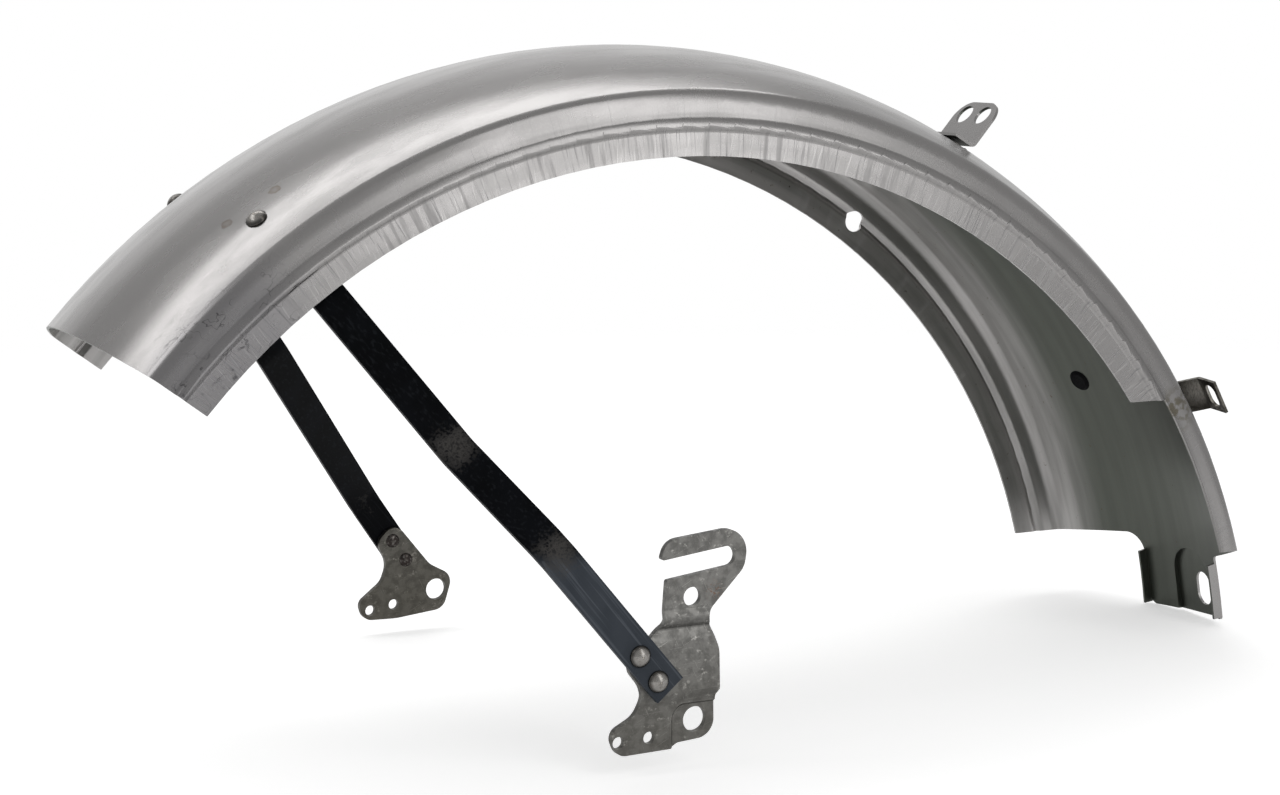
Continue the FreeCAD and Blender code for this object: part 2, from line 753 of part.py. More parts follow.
arch_center = V(size("arch_center_x"), 0, size("arch_center_z"))
for name, sign in (("right", -1), ("left", 1)):
    place = crown_frame(stay_angle, sign * size("crown_rivet_offset"))
    place.Base = place.Base + arch_center
    grip = thick + size("doubler_thick") + bar + 3 * size("seat_gap")
    rivet("crown_rivet_" + name, place, grip)
for name, points, sign in (("right", right_rivets, -1), ("left", left_rivets, 1)):
    for level_name, (x, z) in zip(("upper", "lower"), points):
        origin = V(x, sign * (half_spacing + bar), z) + arch_center
        place = frame(origin, V(1, 0, 0), V(0, sign, 0))
        grip = bar + plate_thick
        rivet("plate_rivet_%s_%s" % (name, level_name), place, grip)

# Ear that stands on the crown, with a foot bent back along it

ear = body("crown_ear")
ear_thick = size("ear_thick")
ear_offset = size("ear_offset")
ear_profile = sketch_on(ear, "XZ_Plane", "ear_profile", FreeCAD.Placement(V(0, 0, ear_offset), FreeCAD.Rotation()))
foot_point = polar(crown_outer + 0.05 + ear_thick / 2, size("ear_angle"))
ear_up = polar(1, size("ear_lean"))
foot_end = foot_point + polar(size("ear_foot"), size("ear_angle") + 90)
ear_rise = size("ear_height") - 2.9
ear_end = foot_point + ear_up * ear_rise
draw(ear_profile, rounded(strip([
    (foot_end.x, foot_end.z, 0),
    (foot_point.x, foot_point.z, 2.4),
    (ear_end.x, ear_end.z, 0),
], ear_thick)))
ear_strip = feature(ear, "Pad", "ear_strip", ear_profile, Midplane=True)
ear_strip.setExpression("Length", "Sizes.ear_width")
doc.recompute()
tops = []
feet = []
for index, item in enumerate(ear.Shape.Edges, start=1):
    if abs(item.Length - ear_thick) > 1e-3:
        continue
    spot = item.CenterOfMass
    spot = V(spot.x, 0, spot.z)
    if spot.distanceToPoint(ear_end) < 2.0:
        tops.append("Edge%d" % index)
    if spot.distanceToPoint(foot_end) < 2.0:
        feet.append("Edge%d" % index)
ear_round = ear.newObject("PartDesign::Fillet", "ear_round")
ear_round.Base = (ear_strip, tops)
ear_round.setExpression("Radius", "Sizes.ear_corner")
ear_hole_point = foot_point + ear_up * (ear_rise - size("ear_hole_drop"))
ear_plane = frame(V(ear_hole_point.x, -ear_offset + 0.8, ear_hole_point.z), V(0, 1, 0), polar(1, size("ear_lean") + 90))
ear_plane = ear_plane.multiply(FreeCAD.Placement(V(0, 0, 6), FreeCAD.Rotation()))
ear_holes = sketch_on(ear, "XY_Plane", "ear_holes", ear_plane)
for sign in (-1, 1):
    circle(ear_holes, sign * size("ear_hole_pitch") / 2, 0, "ear_hole")
feature(ear, "Pocket", "ear_pierce", ear_holes, Length=12.0)
place_on_arch(ear)

# Clip at the front of the crown: foot, rising leg and a slotted top

clip = body("front_clip")
clip_thick = size("clip_thick")
clip_bends = sketch_on(clip, "YZ_Plane", "clip_bends", turned(size("clip_angle")))
lift = clip_thick / 2 + 0.45
draw(clip_bends, rounded(strip([
    (-27.0, crown_radius(27.0) + lift, 0),
    (-46.0, crown_radius(46.0) + lift - 0.1, 2.4),
    (-61.5, crown_outer + 6.0, 2.4),
    (-77.0, crown_outer + 4.5, 0),
], clip_thick)))
clip_strip = feature(clip, "Pad", "clip_strip", clip_bends, Midplane=True)
clip_strip.setExpression("Length", "Sizes.clip_length")
clip_top = polar(crown_outer + 5.2, size("clip_angle"), -70.0)
clip_slot = sketch_on(clip, "XY_Plane", "clip_slot", frame(clip_top, V(0, 1, 0), polar(1, size("clip_angle"), -0.1)).multiply(
    FreeCAD.Placement(V(0, 0, 5), FreeCAD.Rotation())))
slot_half = size("clip_slot_width") / 2
slot_run = size("clip_slot_length") / 2
draw(clip_slot, rounded([
    (-slot_half, -slot_run, slot_half * 0.999),
    (slot_half, -slot_run, slot_half * 0.999),
    (slot_half, slot_run, slot_half * 0.999),
    (-slot_half, slot_run, slot_half * 0.999),
]))
feature(clip, "Pocket", "clip_slot_cut", clip_slot, Length=10.0)
place_on_arch(clip)

# Plug that closes the hole in the crown, a head on each side of the sheet

plug = body("crown_plug")
plug_profile = sketch_on(plug, "XZ_Plane", "plug_profile")
plug_seat = size("plug_hole") / 2 - 0.1
plug_rim = size("plug_head") / 2
plug_rise = size("plug_head_rise")
gap = size("seat_gap")
draw(plug_profile, rounded([
    (0, plug_rise, 0),
    (0, -thick - plug_rise, 0),
    (plug_rim * 0.75, -thick - plug_rise, 0),
    (plug_rim, -thick - gap, 0),
    (plug_seat, -thick - gap, 0),
    (plug_seat, gap, 0),
    (plug_rim, gap, 0),
    (plug_rim * 0.75, plug_rise, 0),
]))
plug_solid = feature(plug, "Revolution", "plug_turned", plug_profile)
plug_solid.ReferenceAxis = (plug_profile, ["V_Axis"])
plug_solid.Angle = 360.0
plug_at = crown_frame(size("plug_angle"), size("plug_offset"))
plug_at.Base = plug_at.Base + arch_center
plug.Placement = plug_at

doc.recompute()

for made in doc.Objects:
    if "Invalid" in made.State or "Error" in made.State:
        raise RuntimeError("%s did not rebuild: %s" % (made.Label, made.State))

os.makedirs("parts", exist_ok=True)
for made in doc.Objects:
    if made.TypeId != "PartDesign::Body":
        continue
    shape = made.Shape
    if shape.isNull() or not shape.isValid() or not shape.Solids:
        raise RuntimeError("%s has no sound solid" % made.Label)
    shape.exportStep("parts/%s.step" % made.Label)
    print("%-26s %d solid %10.1f mm3" % (made.Label, len(shape.Solids), shape.Volume))
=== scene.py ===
"""Bare steel rear fender: finishes for the pressed pieces, turned rivets, weld tacks and studio."""

import math

import bmesh
import bpy
import numpy as np
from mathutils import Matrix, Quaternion, Vector


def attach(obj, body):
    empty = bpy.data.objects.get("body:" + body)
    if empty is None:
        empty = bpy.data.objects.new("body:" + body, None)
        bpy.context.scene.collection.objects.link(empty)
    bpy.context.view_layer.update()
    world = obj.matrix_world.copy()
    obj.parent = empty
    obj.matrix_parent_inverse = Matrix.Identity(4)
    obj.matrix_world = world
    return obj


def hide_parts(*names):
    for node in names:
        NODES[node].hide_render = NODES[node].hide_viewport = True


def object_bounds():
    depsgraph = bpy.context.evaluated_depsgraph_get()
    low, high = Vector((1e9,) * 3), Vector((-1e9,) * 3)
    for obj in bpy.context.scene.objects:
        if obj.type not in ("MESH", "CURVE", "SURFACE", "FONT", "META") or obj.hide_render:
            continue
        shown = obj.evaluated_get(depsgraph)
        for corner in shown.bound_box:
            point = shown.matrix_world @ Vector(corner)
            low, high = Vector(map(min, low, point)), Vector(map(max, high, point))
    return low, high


bl_info = {
    "name": "Rear fender finishes",
    "version": (1, 0, 0),
    "blender": (4, 5, 0),
    "location": "3D View > Sidebar > Fender",
    "description": "Dresses a pressed steel rear fender, its stay, plates, rivets and weld tacks",
    "category": "Object",
}

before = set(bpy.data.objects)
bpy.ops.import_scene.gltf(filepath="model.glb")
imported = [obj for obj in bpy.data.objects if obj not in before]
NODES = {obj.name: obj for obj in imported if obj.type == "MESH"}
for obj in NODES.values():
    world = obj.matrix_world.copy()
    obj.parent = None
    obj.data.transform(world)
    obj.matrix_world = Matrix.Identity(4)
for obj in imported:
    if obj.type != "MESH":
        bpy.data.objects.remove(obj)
CAD_BOX = [list(corner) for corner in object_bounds()]

MM = 0.001
AXLE = (34.5, 0.0, -68.1)      # centre of the wheel arch, mm
SECTION = 345.0                # the sheet bulges round a circle this far from the axle, mm
UNROLL = 360.0                 # radius at which the arch is laid flat for its patterns, mm
CROWN_CURVE, CROWN_MIDDLE = 188.0, 191.6      # radius of the crown across, and of its middle, mm

# how the even normals are made: points this near are on one ring, and a ring has this many
RING_STEP, RING_POINTS = 0.02, 12
CREASE = math.radians(58.0)    # faces that differ by more keep a sharp edge
END_SHARE = 0.7                # a normal that leans along the arch by more is an end face's own

STAY_ANGLE = math.radians(125.0)      # where the stay crosses the crown, round the arch
CROWN_RIVET_ACROSS = 62.6             # mm
RIVETS = [
    "crown_rivet_right", "crown_rivet_left",
    "plate_rivet_right_upper", "plate_rivet_right_lower",
    "plate_rivet_left_upper", "plate_rivet_left_lower",
]
# a rivet's radii and heights, mm
HEAD, HEAD_RISE, DOME_RISE = 5.25, 3.4, 2.9
SHANK, SHANK_LENGTH, TAIL_SHANK_LENGTH = 2.65, 4.2, 4.4
DOME_STEPS = 14

# weld tacks at the ear's foot: across, mm, and round the arch, degrees
TACKS = ((-35.0, 60.0), (-34.8, 59.1), (-9.5, 60.6), (-24.0, 60.6), (2.0, 59.7))
TACK_LIFT = 0.3                # a tack's middle stands this far off the crown, mm

# the photograph's viewpoint and what it looks at, mm
VIEWPOINT, LOOKED_AT = (-570.04, -1238.94, 329.1), (51.27, 0.0, 128.28)
# soft lamps: place and what each faces, m, width and depth, m, turn about its own axis, degrees
LAMPS = {
    "top": ((-0.35, 0.66, 1.5), (-0.35, 0.66, 0.0), 2.9, 0.42, -5.0),
    "side": ((0.57, -1.38, 1.0), (0.57, 0.0, 1.0), 0.6, 2.1, 6.0),
    "rear": ((-1.4, -0.1, 1.3), (-0.2, -0.09, 0.15), 0.8, 0.7, 0.0),
}
FLOOR_GAP = 0.5 * MM
FLOOR_MIDDLE, FLOOR_RADIUS = 0.1, 1.7      # along the fender, and out to the floor's edge, m
BACKDROP = (0.25, 0.95, 0.1)               # direction of the room's bright side

# marks of use and making on the sheet, from the axle, mm: the corner where it was handled, the
# dark smudges there, and the front strip's burnt end
HANDLED, SMUDGED, BURNT = (-240.0, -88.0, 244.0), (-243.0, -89.0, 236.0), (297.0, -86.0, 183.0)
SPECK_CELL = 21.0              # one speck or none to a cell this wide, mm
# bare patches at the stay's bends: middle and reach, mm
BARE_PATCHES = (
    ((-103.5, -118.0, 129.5), 11.0), ((-72.0, -163.0, 87.0), 10.0),
    ((-41.5, 151.0, 51.0), 8.5), ((-176.6, 75.0, 233.0), 6.0),
)
# the hook plate's rusty bend and the clip's rubbed middle, mm
RUSTY_BEND, RUBBED_CLIP = (8.5, -161.5, 61.4), (367.0, -60.0, 119.0)

# node kinds and settings that the finishes use most
MAP, MATH, VECTOR = "ShaderNodeMapRange", "ShaderNodeMath", "ShaderNodeVectorMath"
SOFT = {"interpolation_type": "SMOOTHSTEP"}


def linear(colour):
    """Scene-linear red, green and blue of an sRGB hex colour."""
    parts = [int(colour[i:i + 2], 16) / 255 for i in (1, 3, 5)]
    return tuple(p / 12.92 if p <= 0.04045 else ((p + 0.055) / 1.055) ** 2.4 for p in parts)


def shade(colour, times):
    """A linear colour made lighter or darker."""
    return tuple(c * times for c in colour)


def rgba(colour):
    """A linear colour as the four numbers of a colour socket."""
    return (colour[0], colour[1], colour[2], 1.0)


def add(tree, kind, inputs=(), **settings):
    """Add a node with its settings; a socket or node among the inputs is linked, a value is set."""
    node = tree.nodes.new(kind)
    for name, value in settings.items():
        setattr(node, name, value)
    for key, value in (inputs.items() if isinstance(inputs, dict) else enumerate(inputs)):
        if isinstance(value, bpy.types.Node):
            value = value.outputs[0]
        if isinstance(value, bpy.types.NodeSocket):
            tree.links.new(value, node.inputs[key])
        elif value is not None:
            node.inputs[key].default_value = value
    return node


def finished(name, sockets):
    """A material whose one shader gets the sockets that the given function makes."""
    material = bpy.data.materials.new(name)
    material.use_nodes = True
    tree = material.node_tree
    tree.nodes.clear()
    shader = add(tree, "ShaderNodeBsdfPrincipled", sockets(tree))
    add(tree, "ShaderNodeOutputMaterial", {"Surface": shader})
    return material


def millimetres(tree, origin=(0.0, 0.0, 0.0)):
    """The piece's own coordinates in millimetres, measured from the origin given in millimetres."""
    own = add(tree, "ShaderNodeTexCoord").outputs["Object"]
    return add(tree, "ShaderNodeMapping", {
        "Vector": own, "Location": tuple(-o for o in origin), "Scale": (1 / MM,) * 3})


def unrolled(tree):
    """The place from the axle, the same laid flat (along the arch, across and out), and how far
    out it is, all in millimetres."""
    place = millimetres(tree, AXLE)
    parts = add(tree, "ShaderNodeSeparateXYZ", [place])
    angle = add(tree, MATH, [parts.outputs[2], parts.outputs[0]], operation="ARCTAN2")
    along = add(tree, MATH, [angle, UNROLL], operation="MULTIPLY")
    level = add(tree, "ShaderNodeCombineXYZ", [parts.outputs[0], 0.0, parts.outputs[2]])
    out = add(tree, VECTOR, [level], operation="LENGTH").outputs["Value"]
    return place, add(tree, "ShaderNodeCombineXYZ", [along, parts.outputs[1], out]), out


def grain(tree, place, size, turn=(0.0, 0.0, 0.0), detail=2.0, shift=(0.0, 0.0, 0.0)):
    """Noise whose features have the given size in millimetres along three turned axes."""
    laid = add(tree, "ShaderNodeMapping", {
        "Vector": place, "Location": shift, "Rotation": tuple(math.radians(t) for t in turn),
        "Scale": size}, vector_type="TEXTURE")
    return add(tree, "ShaderNodeTexNoise", {"Vector": laid, "Scale": 1.0, "Detail": detail})


def joined(tree, operation, *values):
    """All the values taken together, as their product or the greatest of them."""
    total = values[0]
    for value in values[1:]:
        total = add(tree, MATH, [total, value], operation=operation)
    return total


def distance(tree, place, point):
    """How far a place is from a point."""
    return add(tree, VECTOR, [place, point], operation="DISTANCE").outputs["Value"]


def layers(tree, base, *coats):
    """A base colour under coats, each given as its masks, multiplied together, and its colour."""
    for *masks, colour in coats:
        base = add(tree, "ShaderNodeMix", {
            0: joined(tree, "MULTIPLY", *masks), 6: base, 7: rgba(colour)},
            data_type="RGBA").outputs[2]
    return base


def spot_weld(tree, place, weld):
    """Mask of a spot weld: a worn ring 6 mm across round a paler middle."""
    away = distance(tree, place, shade(weld, 1 / MM))
    ragged = add(tree, MATH, [grain(tree, place, (2.4, 2.4, 2.4)), 2.4, away],
                 operation="MULTIPLY_ADD")
    patchy = add(tree, MATH, [away, grain(tree, place, (2.2, 2.2, 2.2), shift=(1.0, 5.0, 2.0)),
                              1.6], operation="MULTIPLY_ADD")
    return joined(tree, "MULTIPLY", add(tree, MAP, [ragged, 4.6, 3.7], **SOFT),
                  add(tree, MAP, [patchy, 1.6, 3.4, 0.35, 1.0], **SOFT))


def sheet_steel(looks):
    """Cold-rolled steel sheet, pressed and left bare: satin, warm grey, with the fine marks of the
    rollers, scratches square to the skirt's edge and hairlines and specks where it was handled."""
    def sockets(tree):
        place, flat, out = unrolled(tree)
        # zones by how far out they lie, mm: the flat skirt and its edge, the side over it, the
        # valley under the bead, all that is below the shoulder, and the crown
        in_skirt = add(tree, MAP, [out, 342.3, 339.3], **SOFT)
        at_edge = add(tree, MAP, [out, 339.0, 336.0], **SOFT)
        on_side = add(tree, MAP, [out, 344.0, 364.0, 0.30, 0.0], **SOFT)
        in_valley = joined(tree, "MULTIPLY", add(tree, MAP, [out, 344.0, 346.0], **SOFT),
                           add(tree, MAP, [out, 349.0, 347.0], **SOFT))
        below_shoulder = add(tree, MAP, [out, 364.0, 356.0], **SOFT)
        in_crown = add(tree, MAP, [out, 357.0, 371.0], **SOFT)

        # clouding of the rolled surface, patches about 34 x 12 mm
        cloud = grain(tree, flat, (34.0, 12.0, 12.0), detail=3.0)
        # satin of the sheet, drawn at 0.9 mm so that it shows
        satin = grain(tree, flat, (0.9, 0.9, 0.9), detail=1.0)
        # the skirt's scratches, dark and pale, up to 40 mm long and square to its edge
        dark = grain(tree, flat, (looks.scratch_pitch / MM, 40.0, 34.0), (0.0, 4.0, 0.0), 3.0)
        dark_lines = joined(tree, "MULTIPLY", add(tree, MAP, [dark, 0.56, 0.74], **SOFT),
                            joined(tree, "MAXIMUM", in_skirt, on_side))
        pale = grain(tree, flat, (0.7, 40.0, 22.0), (0.0, -7.0, 0.0), 2.0, (7.0, 3.0, 1.0))
        light_lines = joined(tree, "MULTIPLY", add(tree, MAP, [pale, 0.60, 0.76], **SOFT), at_edge)
        # grime drawn up from the edge in broader streaks, 3.6 mm wide
        grime = grain(tree, flat, (3.6, 60.0, 50.0), (0.0, 3.0, 0.0), 4.0, (2.0, 0.0, 9.0))
        streaks = joined(tree, "MULTIPLY", add(tree, MAP, [grime, 0.52, 0.72], **SOFT), in_skirt)
        # painted shade in the valley under the bead, made uneven by a noise
        valley_shade_noise = grain(tree, flat, (30.0, 30.0, 9.0), detail=3.0)
        valley = joined(tree, "MULTIPLY", in_valley,
                        add(tree, MAP, [valley_shade_noise, 0.3, 0.7, 0.1, 0.5], **SOFT))

        # curled hairlines where the rear near corner was handled: thin bands of a 9 mm noise
        corner = joined(tree, "MULTIPLY", below_shoulder, add(tree, MAP, [
            distance(tree, place, HANDLED), 62.0, 26.0], **SOFT))
        curl = grain(tree, flat, (9.0, 7.0, 7.0), detail=2.0, shift=(3.0, 1.0, 2.0))
        off = add(tree, MATH, [curl, 0.5], operation="SUBTRACT")
        thin = add(tree, MAP, [add(tree, MATH, [off], operation="ABSOLUTE"), 0.012, 0.003], **SOFT)
        some = grain(tree, flat, (14.0, 14.0, 14.0), detail=1.0)
        hairs = joined(tree, "MULTIPLY", thin, add(tree, MAP, [some, 0.42, 0.56], **SOFT), corner)
        # and dark smudges there
        blot = grain(tree, flat, (5.0, 3.0, 6.0), detail=5.0)
        smudge = joined(tree, "MULTIPLY", add(tree, MAP, [blot, 0.6, 0.72], **SOFT), add(
            tree, MAP, [distance(tree, place, SMUDGED), 38.0, 14.0], **SOFT))
        # specks of rust and grit, about 1 mm, in every other cell
        cell = add(tree, "ShaderNodeTexVoronoi", {"Vector": flat, "Scale": 1 / SPECK_CELL},
                   feature="F1")
        lot = add(tree, "ShaderNodeSeparateColor", [cell.outputs["Color"]])
        specks = joined(tree, "MULTIPLY",
                        add(tree, MAP, [cell.outputs["Distance"], 0.034, 0.012], **SOFT),
                        add(tree, MAP, [lot, 0.5, 0.55], **SOFT))
        # brown scale where the front strip was burnt in
        burnt = grain(tree, flat, (4.0, 4.0, 4.0), detail=5.0)
        scale = joined(tree, "MULTIPLY", add(
            tree, MAP, [distance(tree, place, BURNT), 17.0, 3.0], **SOFT),
            add(tree, MAP, [burnt, 0.42, 0.56], **SOFT))

        # a face is on the inside where its normal points to the circle that the sheet bulges round
        normal = add(tree, "ShaderNodeNewGeometry").outputs["Normal"]
        share = add(tree, MATH, [SECTION, out], operation="DIVIDE")
        circle = add(tree, VECTOR, [place, add(tree, "ShaderNodeCombineXYZ", [share, 0.0, share])],
                     operation="MULTIPLY")
        outward = add(tree, VECTOR, [place, circle], operation="SUBTRACT")
        facing = add(tree, VECTOR, [normal, outward], operation="DOT_PRODUCT").outputs["Value"]
        inside = add(tree, MAP, [facing, 3.0, -3.0], **SOFT)
        # the inside is dull; it is painted 1.5 times lighter than the outside sheet as painted
        # light, and under the crown darker and greenish, partly painted shade and partly a green
        # stain, with soft streaks left by the press
        press = grain(tree, flat, (90.0, 7.0, 7.0), detail=4.0, shift=(0.0, 2.0, 0.0))
        rust = grain(tree, flat, (3.2, 2.4, 3.2), detail=3.0)

        colour = layers(
            tree, rgba(looks.sheet),
            (add(tree, MAP, [cloud, 0.35, 0.68], **SOFT), shade(looks.sheet, 0.93)),
            (add(tree, MAP, [satin, 0.45, 0.75], **SOFT), 0.25, shade(looks.sheet, 1.18)),
            # painted shade in the valley under the bead
            (valley, 0.7, linear("#6c6b6a")),
            (streaks, 0.22, linear("#6d6b6c")),
            (dark_lines, 0.42, linear("#5d5c60")),
            (light_lines, 0.4, linear("#d8d6d4")),
            # painted light: the inside faces are made 1.5 times lighter than the outside sheet
            (inside, shade(looks.sheet, 1.5)),
            # painted shade, partly a green stain: the inside under the crown is darker and greenish
            (inside, in_crown, looks.inside),
            (inside, add(tree, MAP, [press, 0.3, 0.7], **SOFT), 0.4, shade(looks.inside, 0.7)),
            (corner, 0.35, linear("#6f6e74")),
            (hairs, 0.65, linear("#3f3e40")),
            (smudge, 0.65, linear("#424244")),
            (specks, 0.8, linear("#37312d")),
            (inside, add(tree, MAP, [rust, 0.69, 0.76], **SOFT), 0.55, linear("#5d4d3d")),
            (scale, 0.8, linear("#6a6453")),
            (spot_weld(tree, place, looks.spot_weld_one), 0.62, linear("#6f604f")),
            (spot_weld(tree, place, looks.spot_weld_two), 0.62, linear("#6f604f")),
        )
        # the outside is satin, the inside duller, and scratches and grime duller still
        satin_rough = add(tree, MAP, [cloud, 0.3, 0.7, 0.23, 0.29], **SOFT)
        rough = add(tree, "ShaderNodeMix", {0: inside, 2: satin_rough, 3: 0.36})
        marked = joined(tree, "MULTIPLY", joined(tree, "MAXIMUM", dark_lines, streaks), 0.6)
        rough = add(tree, "ShaderNodeMix", {0: marked, 2: rough, 3: 0.55})
        # scratches lie under the satin and scale stands on it
        lines = joined(tree, "MAXIMUM", dark_lines, light_lines)
        height = add(tree, MATH, [joined(tree, "MULTIPLY", satin, 0.5),
                                  joined(tree, "MULTIPLY", lines, 0.4)], operation="SUBTRACT")
        height = add(tree, MATH, [scale, 3.0, height], operation="MULTIPLY_ADD")
        bump = add(tree, "ShaderNodeBump", {
            "Height": height, "Strength": 0.07, "Distance": 0.05 * MM})
        return {"Base Color": colour, "Metallic": 1.0, "Roughness": rough, "Normal": bump}
    return finished("bare_pressed_steel", sockets)


def blackened_bar(looks):
    """Hot-rolled steel bar with a black oxide and oil finish: nearly black with a blue cast, drawn
    lengthways, and worn to bare brown-grey metal where the bends were formed."""
    def sockets(tree):
        place = millimetres(tree)
        parts = add(tree, "ShaderNodeSeparateXYZ", [place])
        # lengthways draw marks along the lower right leg, drawn 1.5 mm wide so that they show
        drawn = grain(tree, place, (1.5, 1.5, 70.0), (0.0, -39.0, 0.0), 3.0)
        tone = add(tree, MAP, [grain(tree, place, (18.0, 18.0, 26.0), detail=3.0), 0.35, 0.65],
                   **SOFT)
        # bare patches, whose edges break up in 1.5 mm specks
        speck = grain(tree, place, (1.5, 1.5, 1.5), detail=4.0)
        broad = grain(tree, place, (7.0, 7.0, 7.0), detail=2.0, shift=(4.0, 0.0, 2.0))
        patches = []
        for middle, reach in BARE_PATCHES:
            away = distance(tree, place, middle)
            frayed = add(tree, MATH, [speck, 24.0, away], operation="MULTIPLY_ADD")
            frayed = add(tree, MATH, [broad, 10.0, frayed], operation="MULTIPLY_ADD")
            patches.append(add(tree, MAP, [frayed, reach + 19.0, reach + 12.0], **SOFT))
        worn = joined(tree, "MAXIMUM", *patches)
        # the right leg below its elbow is a lighter blue-grey: low down, and at the right
        low_leg = joined(tree, "MULTIPLY", add(tree, MAP, [parts.outputs[2], 90.0, 78.0], **SOFT),
                         add(tree, MAP, [parts.outputs[1], -90.0, -100.0], **SOFT))
        marks = joined(tree, "MULTIPLY", add(tree, MAP, [drawn, 0.54, 0.66], **SOFT),
                       add(tree, MAP, [low_leg, 0.0, 1.0, 0.05, 0.6], **SOFT))
        colour = layers(
            tree, rgba(looks.bar),
            (tone, 0.5, linear("#101217")),
            (low_leg, 0.9, linear("#464b52")),
            (low_leg, tone, 0.5, linear("#33383e")),
            (marks, linear("#5f646b")),
            (worn, add(tree, MAP, [speck, 0.36, 0.56, 0.35, 0.9], **SOFT), looks.bar_worn),
        )
        oiled = add(tree, MAP, [drawn, 0.3, 0.7, 0.34, 0.5], **SOFT)
        rough = add(tree, "ShaderNodeMix", {0: worn, 2: oiled, 3: 0.5})
        height = add(tree, MATH, [worn, -0.6, drawn], operation="MULTIPLY_ADD")
        bump = add(tree, "ShaderNodeBump", {
            "Height": height, "Strength": 0.5, "Distance": 0.06 * MM})
        return {"Base Color": colour, "Metallic": 0.0, "Roughness": rough, "Normal": bump,
                "Specular IOR Level": 0.05}
    return finished("black_oxide_bar", sockets)


def plate_steel(name, base, dark, worn_edge):
    """Press-cut plate in dull zinc-grey steel: blotched, with pale rubbed spots, fine scratches in
    all directions and a trace of rust in the bend."""
    def sockets(tree):
        place = millimetres(tree)
        height_up = add(tree, "ShaderNodeSeparateXYZ", [place]).outputs[2]
        blotch = grain(tree, place, (4.0, 4.0, 4.0), detail=6.0)
        speckle = grain(tree, place, (1.1, 1.1, 1.1), detail=3.0)
        spots = grain(tree, place, (4.5, 6.0, 3.5), detail=6.0, shift=(9.0, 0.0, 3.0))
        rubbed = joined(tree, "MULTIPLY", add(tree, MAP, [spots, 0.56, 0.7], **SOFT),
                        add(tree, MAP, [speckle, 0.42, 0.6], **SOFT))
        # scratches in three directions: width, depth and length, mm, and lean, degrees
        lines = []
        for size, lean in (((0.35, 30.0, 16.0), 62.0), ((0.35, 30.0, 12.0), -24.0),
                           ((0.3, 30.0, 20.0), 88.0)):
            line = grain(tree, place, size, (0.0, lean, 0.0), 2.0, (lean, 0.0, 1.0))
            lines.append(add(tree, MAP, [line, 0.69, 0.75], **SOFT))
        scratches = joined(tree, "MAXIMUM", *lines)
        # a trace of rust in the bend
        in_bend = add(tree, MAP, [distance(tree, place, RUSTY_BEND), 7.0, 1.0], **SOFT)
        rust = joined(tree, "MULTIPLY", in_bend, add(tree, MAP, [speckle, 0.5, 0.64], **SOFT))
        colour = layers(
            tree, rgba(base),
            (add(tree, MAP, [blotch, 0.38, 0.62], **SOFT), dark),
            (add(tree, MAP, [speckle, 0.5, 0.75], **SOFT), 0.35, shade(base, 1.35)),
            (rubbed, 0.75, worn_edge),
            (scratches, 0.6, worn_edge),
            # painted shade: the plate is darker and olive-toned towards its bottom
            (add(tree, MAP, [height_up, 45.0, -10.0], **SOFT), 0.4, linear("#55524a")),
            (rust, 0.7, linear("#6d4a33")),
        )
        rough = add(tree, MAP, [blotch, 0.3, 0.7, 0.36, 0.5], **SOFT)
        height = add(tree, MATH, [joined(tree, "MULTIPLY", speckle, 0.8),
                                  joined(tree, "MULTIPLY", scratches, 0.8)], operation="SUBTRACT")
        bump = add(tree, "ShaderNodeBump", {
            "Height": height, "Strength": 0.6, "Distance": 0.08 * MM})
        return {"Base Color": colour, "Metallic": 1.0, "Roughness": rough, "Normal": bump}
    return finished(name, sockets)


def turned_steel(looks):
    """Steel rivets with turned heads: fine rings round the axis, a painted highlight on the dome's
    top and painted shade in the corner against the bar. Painted shade darkens a tail all over."""
    def sockets(tree):
        turning = add(tree, "ShaderNodeAttribute", attribute_name="turning").outputs["Vector"]
        parts = add(tree, "ShaderNodeSeparateXYZ", [turning])
        radius, tail = parts.outputs[0], parts.outputs[1]
        blotch = grain(tree, millimetres(tree), (1.6, 1.6, 1.6), detail=4.0)
        # tool rings at the pitch of the finish
        wave = add(tree, MATH, [radius, 2 * math.pi / (looks.ring_pitch / MM)],
                   operation="MULTIPLY")
        rings = add(tree, MATH, [wave], operation="SINE")
        colour = layers(
            tree, rgba(looks.rivet),
            (add(tree, MAP, [rings, -0.2, 1.0], **SOFT), 0.4, shade(looks.rivet, 0.6)),
            # painted highlight at the top of the dome
            (add(tree, MAP, [radius, 0.8, 0.2], **SOFT), 0.6, linear("#cfc8bd")),
            # painted shade at the dome's rim, in the corner against the bar
            (add(tree, MAP, [radius, 3.4, 4.9, 0.0, 0.85], **SOFT), linear("#343230")),
            (add(tree, MAP, [blotch, 0.5, 0.68], **SOFT), 0.35, linear("#6a6259")),
            # painted shade: a tail is darker all over, blotched
            (tail, add(tree, MAP, [blotch, 0.3, 0.55, 0.6, 0.95], **SOFT), linear("#2b2523")),
        )
        rough = add(tree, MAP, [blotch, 0.3, 0.7, 0.2, 0.3], **SOFT)
        bump = add(tree, "ShaderNodeBump", {
            "Height": rings, "Strength": 0.5, "Distance": 0.03 * MM})
        return {"Base Color": colour, "Metallic": 1.0, "Roughness": rough, "Normal": bump}
    return finished("turned_rivet_steel", sockets)


